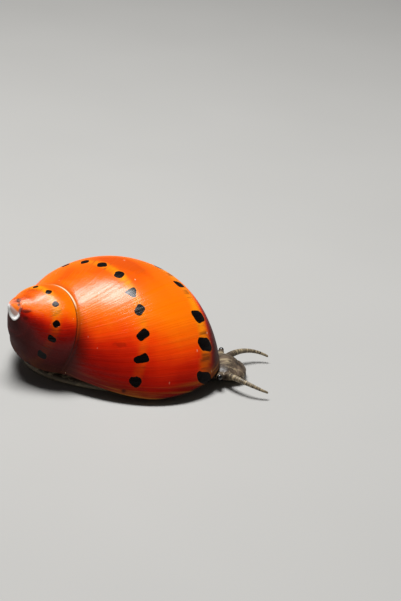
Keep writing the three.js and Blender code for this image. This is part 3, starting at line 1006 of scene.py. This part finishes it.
@dataclass
class Shell:
    """Spiral shell in one piece, hollow, open along its rim."""

    coil: Coil = field(default_factory=Coil)
    rows: tuple[SpotRow, ...] = (ROW_ONE, ROW_TWO, ROW_THREE)
    columns_per_turn: int = 176
    first_angle: float = -1480.0
    row_count: int = 56
    wall: float = 0.85
    wall_at_tip: float = 0.05
    wall_depths: Span = (1.0, 8.0)
    bead: float = 0.03
    bead_share: float = 0.035
    bead_spread: float = 0.02
    groove: float = 0.05
    groove_spread: float = 0.014
    seam_end_search: Span = (90.0, 140.0)
    seam_end_step: float = 0.25
    row_crowding: float = 0.28
    no_seam: float = 99.0
    seam_overlap: float = 0.5
    worn_margin: float = 2.0
    crown_shares: float = 0.4
    tip_hole: float = 0.5
    crease: float = math.radians(50)
    crater: Crater = field(default_factory=Crater)
    rear_x: float = -8.0
    rear_blend: float = 3.0
    rear_height: float = 7.2
    rear_spread: float = 1.6
    rear_evenness: int = 4
    rear_draw: float = 0.28
    low_rear_height: float = 3.6
    low_rear_spread: float = 1.3
    low_rear_draw: float = 0.27
    inset: float = 0.02
    inner_cream: Colour = srgb(236, 224, 196)
    inner_blush: Colour = srgb(232, 188, 120)

    def _last_angle(self) -> float:
        """Finds where the suture reaches the rim.

        Returns:
            The angle in degrees.
        """
        angle, end = self.seam_end_search
        while self.coil.rim_share(angle) > 0 and angle < end:
            angle += self.seam_end_step
        return angle

    def _row_shares(self) -> Array:
        """Shares of the rows, closer together at both ends."""
        even = np.linspace(0, 1, self.row_count + 1)
        return even + self.row_crowding * (0.5 - 0.5 * np.cos(np.pi * even) - even)

    def build(self, glaze: Material) -> Piece:
        """Lays a grid over the coil, cuts the tip and gives the wall its thickness.

        Args:
            glaze: Material of the outer side.

        Returns:
            The shell, with a second material on its inner wall.
        """
        coil = self.coil
        last = self._last_angle()
        turn_step = 360 / self.columns_per_turn
        columns = math.ceil((last - self.first_angle) / turn_step)
        angles = last - turn_step * np.arange(columns, -1, -1)
        covered = coil.covered_share()
        ends = np.array([coil.rim_share(angle) for angle in angles])
        ends = np.where(angles < last - 360, np.minimum(ends, covered), ends)
        shell, column, row = grid_sheet("shell", columns, self.row_count)
        angle = angles[column]
        share = self._row_shares()[row] * ends[column]
        places = coil.points(angle, share, self._lift(angle, share, covered, last))
        above = (row == 0) & (column >= self.columns_per_turn)
        earlier = angle[above] - 360
        groove = -self.groove * coil.worn_share(earlier) - self.inset
        places[above] = coil.points(earlier, np.full(earlier.shape, covered), groove)
        places = self._draw_in(places)
        self._mark(shell, angle, share, places, covered, last)
        move_corners(shell, places * MM)
        for material in (glaze, self.inside_glaze()):
            shell.data.materials.append(material)
        self._close(shell)
        return shell

    def _draw_in(self, places: Array) -> Array:
        """Draws in the rearmost side of the spire a little, at half its height and below.

        Args:
            places: Points in millimetres.

        Returns:
            The points, moved.
        """
        reach = ease(places[:, 0], self.rear_x, self.rear_x - self.rear_blend)
        high = self.rear_draw * swell(places[:, 2], self.rear_height, self.rear_spread, self.rear_evenness)
        low = self.low_rear_draw * swell(places[:, 2], self.low_rear_height, self.low_rear_spread)
        return places + points_of(reach * (high + low), 0, 0)

    def inside_glaze(self) -> Material:
        """Builds the smooth, cream glaze of the inner wall, with a yellow blush.

        Returns:
            The material.
        """
        made = Surface("inner_glaze")
        clouds = made.noise(made.place(), 260.0, 3.0)
        colour = made.lay(self.inner_cream, (clouds.step(0.35, 0.7), self.inner_blush))
        return made.finish({"Base Color": colour, "Roughness": clouds * 0.1 + 0.2})

    def _lift(self, angle: Array, share: Array, covered: float, last: float) -> Array:
        """Bead below the last suture and groove above it.

        Args:
            angle: Degrees round the axis.
            share: Places on the outline.
            covered: Where the next whorl's suture meets the outline.
            last: Angle at which the suture reaches the rim.

        Returns:
            How far each place is off the smooth coil, as a share of the whorl's size.
        """
        worn_share = self.coil.worn_share
        bead = self.bead * swell(share, self.bead_share, self.bead_spread) * worn_share(angle - 360)
        groove = self.groove * swell(share, covered, self.groove_spread) * worn_share(angle)
        return np.where(angle > last - 360, bead, -groove) - self.inset

    def _mark(
        self, shell: Piece, angle: Array, share: Array, places: Array, covered: float, last: float
    ) -> None:
        """Stores what the glaze reads, by face corner, so that the suture and the spots stay sharp.

        Args:
            shell: The flat grid.
            angle: Angle of each vertex.
            share: Place of each on the outline.
            places: Its place in millimetres.
            covered: Where the next whorl's suture meets the outline.
            last: Angle at which the suture reaches the rim.
        """
        coil = self.coil
        mesh = shell.data
        vertex = np.empty(len(mesh.loops), dtype=np.int32)
        mesh.loops.foreach_get("vertex_index", vertex)
        angle, share = angle[vertex], share[vertex]
        above_rim = (places[:, 2] - coil.rim_height(places))[vertex]
        size = coil.scale(angle)
        arc = coil.arc(share) * size
        worn, worn_before = (self.worn_margin * (1 - coil.worn_share(angle - back)) for back in (0, 360))
        own = np.where(angle > last - 360 - self.seam_overlap, arc + worn_before, self.no_seam)
        next_seam = np.where(angle <= last - 360, coil.arc(covered) * size - arc + worn, self.no_seam)
        middle_angle = np.repeat(angle.reshape(-1, 4).mean(axis=1), 4)
        inner = np.maximum(np.ceil((coil.crown_angle - middle_angle) / 360), 0)
        radius = coil.outline(share)[:, 0] * size
        inward = (radius / (coil.suture[0] * coil.scale(angle + 360 * inner)) - 1) * self.crown_shares
        shown_share = np.where(inner > 0, inward, share)
        store(shell, "coil", "CORNER", points_of(angle / 360 + inner, shown_share, above_rim))
        store(shell, "seams", "CORNER", points_of(own, next_seam, 0))
        for row in self.rows:
            middle, length, width, lean, taper, shift = row.nearest(middle_angle)
            reach = coil.outline(np.array([row.share]))[0, 0] * coil.scale(middle)
            along = np.radians(angle - middle) * reach
            off = arc - coil.arc(row.share) * size - shift
            cos, sin = np.cos(np.radians(lean)), np.sin(np.radians(lean))
            ahead, aside = along * cos + off * sin, off * cos - along * sin
            store(shell, row.name, "CORNER", points_of(ahead, aside, np.abs(off) + worn))
            store(shell, row.name + "_form", "CORNER", points_of(length / 2, width / 2, taper))

    def _close(self, shell: Piece) -> None:
        """Merges the whorls, closes and pits the tip, and thickens the wall.

        Args:
            shell: The shell, as a thin sheet.
        """
        coil = self.coil
        axis = coil.axes()[0]
        close_mesh(shell, 2 * WELD)
        take(shell)
        bpy.ops.object.mode_set(mode="EDIT")
        bpy.ops.mesh.select_all(action="SELECT")
        bpy.ops.mesh.region_to_loop()
        bpy.ops.object.mode_set(mode="OBJECT")
        flat = corners(shell) / MM - np.array(coil.apex)
        far = np.linalg.norm(flat - np.outer(flat @ axis, axis), axis=1) > self.tip_hole
        for index in np.nonzero(far)[0]:
            shell.data.vertices[index].select = False
        bpy.ops.object.mode_set(mode="EDIT")
        bpy.ops.mesh.select_mode(type="VERT")
        bpy.ops.mesh.edge_face_add()
        bpy.ops.mesh.poke()
        bpy.ops.object.mode_set(mode="OBJECT")
        places = corners(shell) / MM
        depth = (places - np.array(coil.apex)) @ axis
        store(shell, "facing", "POINT", corners(shell, "normal"))
        move_corners(shell, self.crater.sink(places) * MM)
        weigh(shell, "wall", np.maximum(rise(depth, *self.wall_depths), self.wall_at_tip))
        apply_modifier(
            shell, "SOLIDIFY", thickness=self.wall * MM, offset=-1, vertex_group="wall", use_rim=True,
            material_offset=1,
        )
        smooth(shell, self.crease)


# Deck, door and eyes


@dataclass(frozen=True)
class DeckGlaze:
    """Cream, glossy shell material of the deck."""

    cream: Colour = srgb(238, 228, 200)
    stain: Colour = srgb(214, 160, 90)

    def material(self) -> Material:
        """Builds the glaze.

        Returns:
            The material.
        """
        made = Surface("deck_glaze")
        place = made.place()
        clouds = made.noise(place, 420.0, 3.0)
        lines = made.noise(place, 2400.0, 2.0)
        colour = made.lay(self.cream, (clouds.step(0.45, 0.75) * 0.5, self.stain))
        return made.finish(
            {
                "Base Color": colour,
                "Roughness": clouds * 0.15 + 0.18,
                "Normal": made.relief(lines, 0.00002),
                "Coat Weight": 0.4,
            }
        )


@dataclass(frozen=True)
class DoorHorn:
    """Horny door with growth lines round its low corner."""

    dark: Colour = srgb(92, 56, 38)
    light: Colour = srgb(160, 112, 78)
    centre: Span = (-7.2, -2.6)

    def material(self) -> Material:
        """Builds the horn.

        Returns:
            The material.
        """
        made = Surface("door_horn")
        x, y, _ = made.from_point(made.place(), (*self.centre, 0.0))
        rings = made.noise(made.join((x * x + y * y).root() * 3.4, 0.0, 0.0), 1.0, 3.0)
        colour = made.lay(self.dark, (rings.step(0.35, 0.65), self.light))
        return made.finish(
            {"Base Color": colour, "Roughness": rings * 0.2 + 0.3, "Normal": made.relief(rings, 0.00006)}
        )


@dataclass(frozen=True)
class EyeGloss:
    """Wet black of the eyes."""

    black: Colour = srgb(9, 9, 11)
    grey: Colour = srgb(46, 44, 46)

    def material(self) -> Material:
        """Builds the gloss.

        Returns:
            The material.
        """
        made = Surface("eye_gloss")
        specks = made.noise(made.place(), 9000.0, 2.0)
        colour = made.lay(self.black, (specks.step(0.5, 0.8) * 0.4, self.grey))
        return made.finish({"Base Color": colour, "Roughness": 0.08, "Coat Weight": 0.8, "IOR": 1.4})


# The soft body


@dataclass(frozen=True)
class SnailSkin:
    """Wet, mottled skin: dark grey with fine pale lines, and a pale sole."""

    dark: Colour = srgb(46, 38, 33)
    mid: Colour = srgb(104, 88, 72)
    pale: Colour = srgb(190, 172, 138)
    sole: Colour = srgb(188, 172, 144)

    def material(self) -> Material:
        """Builds the skin.

        Returns:
            The material.
        """
        made = Surface("snail_skin")
        place = made.place()
        x, y, z = made.split(place)
        feeler, _, _ = made.attribute("feeler")
        mottle = made.noise(place, 700.0, 4.0, 0.6)
        warp = made.noise(place, 300.0, 2.0)
        lines = made.noise(made.join(x * 500.0 + warp * 1.5, y * 2600.0 + warp * 3.0, z * 1600.0), 1.0, 3.0)
        grains = made.noise(place, 5200.0, 3.0, 0.6)
        flecks = made.noise(place, 3400.0, 2.0)
        rings = made.noise(made.join(feeler * 34.0, 0.0, 0.0), 1.0, 1.0)
        colour = made.lay(
            self.dark,
            (mottle.step(0.32, 0.68), self.mid),
            (lines.step(0.56, 0.66) * 0.5, self.pale),
            (flecks.step(0.62, 0.7) * 0.4, self.pale),
            (z.step(0.00075, 0.00025) * 0.75, self.sole),
            (feeler.step(0.04, 0.3) * 0.75, made.lay(self.dark, (rings.step(0.38, 0.62), self.pale))),
        )
        normal = made.relief(mottle, 0.00008, made.relief(grains, 0.00002))
        return made.finish(
            {
                "Base Color": colour,
                "Roughness": mottle * 0.25 + 0.34,
                "Normal": normal,
                "Coat Weight": 0.12,
                "Coat Roughness": 0.2,
                "IOR": 1.36,
            }
        )


@dataclass
class SoftBody:
    """Foot, mantle and head as one skin, with the eyes on their stalks."""

    sole_half_length: float = 9.5
    sole_half_width: float = 6.4
    foot_middle: Span = (-0.9, -0.2)
    foot_taper: float = 0.08
    foot_height: float = 1.5
    foot_levels: tuple[Span, ...] = (
        (0, 0.35), (0.05, 0.12), (0.12, 0.04), (0.28, 0), (0.5, 0.25), (0.7, 0.9), (0.88, 2), (1, 3.3),
    )
    sole_height: float = 0.02
    waist_top: float = 2.3
    waist_drop: float = 0.9
    waist_draw: float = 0.12
    head_y: float = -0.4
    head_roundness: float = 0.8
    stations: tuple[tuple[float, ...], ...] = (
        (7.6, 2.2, 0.25, 1.9),
        (8.9, 2.3, 0.3, 2.0),
        (10.0, 2.34, 0.3, 2.05),
        (11.2, 2.36, 0.35, 2.12),
        (11.8, 2.5, 0.32, 2.25),
        (12.5, 2.48, 0.3, 2.22),
        (13.2, 2.15, 0.25, 1.95),
        (13.8, 1.92, 0.2, 1.66),
        (14.25, 1.55, 0.22, 1.35),
        (14.6, 0.95, 0.34, 1.0),
    )
    tentacle_root: Point = (12.45, 2.35, 1.45)
    tentacle_knots: tuple[Point, ...] = (
        (0.0, 0.0, 0.0), (0.25, 0.30, 0.08), (0.6, 0.5, 0.0), (0.92, 0.44, -0.13),
    )
    tentacle_length: float = 5.05
    tentacle_radii: Span = (0.42, 0.15)
    tentacle_thinning: float = 0.8
    tentacle_steps: int = 32
    stalk_root: Point = (11.55, 2.2, 1.3)
    stalk_tip: Point = (11.65, 3.5, 1.65)
    stalk_reach: Span = (-0.2, 0.88)
    stalk_radii: Span = (0.46, 0.36)
    stalk_steps: int = 10
    eye_radius: float = 0.3
    eye_segments: int = 40
    eye_rings: int = 24
    foot_sides: int = 96
    head_sides: int = 48
    head_steps: int = 40
    limb_sides: int = 20
    voxel: float = 0.11
    skin_smoothing: float = 0.5
    skin_rounds: int = 4
    mouth_width: float = 0.16
    mouth_rise: Span = (1.05, 0.75)
    mouth_front: Span = (13.5, 14.0)
    mouth_depth: float = 0.3
    fold_x: float = 13.55
    fold_width: float = 0.16
    fold_rise: Span = (0.5, 0.9)
    fold_sides: Span = (2.4, 1.8)
    fold_depth: float = 0.09
    soft_rear: Span = (10.5, 9.0)
    soft_rise: Span = (0.7, 1.2)
    soft_smoothing: float = 0.6
    soft_rounds: int = 30
    feeler_first: int = 3
    feeler_reach: float = 0.5

    def _foot(self) -> Piece:
        """Makes the creeping foot, flat below.

        Returns:
            The form.
        """
        turn = circle(self.foot_sides)
        ahead, left = np.cos(turn), np.sin(turn)
        rings = []
        for share, inset in self.foot_levels:
            width = (self.sole_half_width - inset) * (1 + self.foot_taper * ahead)
            x = self.foot_middle[0] + (self.sole_half_length - inset) * ahead
            z = self.sole_height + (self.foot_height - self.sole_height) * share
            rings.append(points_of(x, self.foot_middle[1] + width * left, z))
        return loft("foot_form", rings)

    def _head(self) -> Piece:
        """Makes neck, head and snout as one form.

        Returns:
            The form.
        """
        given = np.array(self.stations).T
        turn = circle(self.head_sides)
        circles = (np.cos(turn), np.sin(turn))
        across, up = (np.sign(part) * np.abs(part) ** self.head_roundness for part in circles)
        rings = []
        for x in np.linspace(given[0, 0], given[0, -1], self.head_steps):
            half, low, high = (np.interp(x, given[0], sizes) for sizes in given[1:])
            z = (low + high) / 2 + (high - low) / 2 * up
            rings.append(points_of(x, self.head_y + half * across, z))
        return loft("head_form", rings)

    def _tube(self, name: str, path: Array, radii: Array) -> Piece:
        """A limb round a path.

        Args:
            name: Name of the piece.
            path: Its points in millimetres.
            radii: Radius at each.

        Returns:
            The piece.
        """
        turn = circle(self.limb_sides)[:, None]
        rings = []
        for point, ahead, radius in zip(path, np.gradient(path, axis=0), radii):
            ahead /= np.linalg.norm(ahead)
            side = np.cross(ahead, (0, 0, 1))
            side /= np.linalg.norm(side)
            up = np.cross(side, ahead)
            rings.append(point + radius * (np.cos(turn) * side + np.sin(turn) * up))
        return loft(name, rings)

    def _beside(self, place: Point, side: int) -> Array:
        """A place measured from the head's middle line, on the right (-1) or on the left (1)."""
        x, y, z = place
        return np.array([x, self.head_y + side * y, z])

    def tentacle_path(self, side: int) -> Array:
        """Middle line of a tentacle, in millimetres."""
        path = curve_points(self.tentacle_knots, np.linspace(0, 1, self.tentacle_steps))
        return self._beside(self.tentacle_root, side) + path * self.tentacle_length * (1, side, 1)

    def _copy(self, node: str) -> Piece:
        """Copies a solid of the frame and closes the copy.

        Args:
            node: Name of the solid.

        Returns:
            The copy.
        """
        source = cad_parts[node]
        copy = source.copy()
        copy.data = source.data.copy()
        copy.name = node + "_form"
        bpy.context.collection.objects.link(copy)
        close_mesh(copy, WELD)
        return copy

    def _waist(self) -> Piece:
        """Makes the flesh over the foot, its underside drawn in and let down into the foot.

        Returns:
            The form.
        """
        column = self._copy("foot_column")
        places = corners(column) / MM
        low = rise(places[:, 2], self.waist_top, places[:, 2].min())
        middle = np.array(self.foot_middle)
        places[:, :2] += (middle - places[:, :2]) * self.waist_draw * low[:, None]
        places[:, 2] -= self.waist_drop * low
        move_corners(column, places * MM)
        return column

    def build(self) -> Piece:
        """Joins the forms into one smooth skin.

        Returns:
            The skin.
        """
        forms = [self._foot(), self._head(), self._waist(), self._copy("mantle_collar")]
        for side in (-1, 1):
            path = self.tentacle_path(side)
            thin = np.linspace(0, 1, len(path)) ** self.tentacle_thinning
            radii = self.tentacle_radii[0] + (self.tentacle_radii[1] - self.tentacle_radii[0]) * thin
            forms.append(self._tube("tentacle_form", path, radii))
            root, tip = (self._beside(place, side) for place in (self.stalk_root, self.stalk_tip))
            line = root + (tip - root) * np.linspace(*self.stalk_reach, self.stalk_steps)[:, None]
            forms.append(self._tube("stalk_form", line, np.linspace(*self.stalk_radii, self.stalk_steps)))
        take(forms[0])
        for form in forms[1:]:
            form.select_set(True)
        bpy.ops.object.join()
        skin = added("soft_body")
        apply_modifier(skin, "REMESH", mode="VOXEL", voxel_size=self.voxel * MM, adaptivity=0.0)
        apply_modifier(skin, "SMOOTH", factor=self.skin_smoothing, iterations=self.skin_rounds)
        self._shape_face(skin)
        self._soften(skin)
        self._mark_tentacles(skin)
        smooth(skin)
        return skin

    def _shape_face(self, skin: Piece) -> None:
        """Presses the mouth slit and the fold behind the lips into the snout.

        Args:
            skin: The joined skin.
        """
        places = corners(skin) / MM
        x, y, z = places.T
        off = y - self.head_y
        slit = swell(off, 0, self.mouth_width) * rise(z, *self.mouth_rise) * rise(x, *self.mouth_front)
        fold = swell(x, self.fold_x, self.fold_width) * rise(z, *self.fold_rise)
        fold *= rise(np.abs(off), *self.fold_sides)
        move_corners(skin, (places - points_of(self.mouth_depth * slit, 0, self.fold_depth * fold)) * MM)

    def _soften(self, skin: Piece) -> None:
        """Rounds the body behind the head more than the head and its limbs.

        Args:
            skin: The joined skin.
        """
        x, _, z = (corners(skin) / MM).T
        weigh(skin, "soft", rise(x, *self.soft_rear) * rise(z, *self.soft_rise))
        apply_modifier(
            skin, "SMOOTH", factor=self.soft_smoothing, iterations=self.soft_rounds, vertex_group="soft"
        )

    def _mark_tentacles(self, skin: Piece) -> None:
        """Stores how far along a tentacle each vertex is.

        Args:
            skin: The joined skin.
        """
        places = corners(skin) / MM
        share = np.zeros(len(places))
        for side in (-1, 1):
            path = self.tentacle_path(side)
            for index in range(self.feeler_first, len(path)):
                close = np.linalg.norm(places - path[index], axis=1) < self.feeler_reach
                share[close] = index / (len(path) - 1)
        store(skin, "feeler", "POINT", points_of(share, 0, 0))

    def eye(self, name: str, side: int) -> Piece:
        """Makes one round eye at the end of its stalk.

        Args:
            name: Name of the piece.
            side: -1 for the right one, 1 for the left one.

        Returns:
            The eye.
        """
        deselect()
        bpy.ops.mesh.primitive_uv_sphere_add(
            segments=self.eye_segments, ring_count=self.eye_rings, radius=self.eye_radius * MM
        )
        eye = added(name)
        move_corners(eye, corners(eye) + self._beside(self.stalk_tip, side) * MM)
        smooth(eye)
        return eye


# The studio


@dataclass(frozen=True)
class FloorPaint:
    """Plain pale floor."""

    pale: Colour = srgb(170, 169, 166)
    cloud: Colour = srgb(176, 175, 172)

    def material(self) -> Material:
        """Builds the paint.

        Returns:
            The material.
        """
        made = Surface("floor_paint")
        clouds = made.noise(made.place(), 30.0, 2.0)
        return made.finish({"Base Color": made.lay(self.pale, (clouds, self.cloud)), "Roughness": 0.7})


@dataclass
class Studio:
    """Floor, lights and camera."""

    floor_size: float = 3.0
    camera_place: Point = (0.008815, -0.171154, 0.085119)
    camera_right: Point = (0.99620, 0.03545, 0.07962)
    camera_up: Point = (-0.08716, 0.40519, 0.91007)
    lens: float = 101.83
    sensor: float = 36.0
    nearest_shown: float = 0.001
    key_size: float = 0.13
    key_place: Point = (-0.036, 0.03, 0.30)
    key_power: float = 1.4
    sky: float = 0.055

    def floor(self) -> Piece:
        """Lays the floor.

        Returns:
            The floor.
        """
        deselect()
        bpy.ops.mesh.primitive_plane_add(size=self.floor_size)
        floor = bpy.context.object
        floor.name = "floor"
        dress(floor, FloorPaint().material())
        return floor

    def lights(self) -> None:
        """Hangs one soft square light, aimed at the middle, and sets an even surround."""
        data = bpy.data.lights.new("key", "AREA")
        data.size = self.key_size
        data.energy = self.key_power
        light = bpy.data.objects.new("key", data)
        light.location = self.key_place
        light.rotation_euler = (-Vector(self.key_place)).to_track_quat("-Z", "Y").to_euler()
        bpy.context.collection.objects.link(light)
        world = bpy.data.worlds.new("studio")
        bpy.context.scene.world = world
        world.use_nodes = True
        background = world.node_tree.nodes["Background"]
        background.inputs["Color"].default_value = (1, 1, 1, 1)
        background.inputs["Strength"].default_value = self.sky
        bpy.context.scene.view_settings.view_transform = "Standard"

    def camera(self) -> None:
        """Sets the camera at the photograph's angle."""
        data = bpy.data.cameras.new("camera")
        data.lens = self.lens
        data.sensor_width = self.sensor
        data.clip_start = self.nearest_shown
        camera = bpy.data.objects.new("camera", data)
        right, up = Vector(self.camera_right), Vector(self.camera_up)
        back = right.cross(up)
        turn = Matrix((right, up, back)).transposed().to_4x4()
        camera.matrix_world = Matrix.Translation(self.camera_place) @ turn
        bpy.context.collection.objects.link(camera)
        bpy.context.scene.camera = camera


def main() -> None:
    """Builds and dresses the snail, then the studio."""
    logging.basicConfig(level=logging.INFO, format="%(message)s")
    shell = Shell()
    piece = shell.build(ShellGlaze().material(shell.rows))
    seat(piece, Slot.SHELL, "shell_body_whorl", "shell_spire", "shell_apex")
    body = SoftBody()
    skin = body.build()
    dress(skin, SnailSkin().material())
    seat(
        skin, Slot.FLESH, "foot", "foot_column", "mantle_collar", "neck", "head", "snout",
        "tentacle_right", "tentacle_left", "eye_stalk_right", "eye_stalk_left",
    )
    gloss = EyeGloss().material()
    for name, side in (("right", -1), ("left", 1)):
        eye = body.eye("eye_ball_" + name, side)
        dress(eye, gloss)
        seat(eye, Slot.EYE, "eye_" + name)
    dress(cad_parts["shell_deck"], DeckGlaze().material())
    dress(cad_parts["operculum"], DoorHorn().material())
    studio = Studio()
    studio.floor()
    studio.lights()
    studio.camera()


if __name__ == "__main__":
    main()
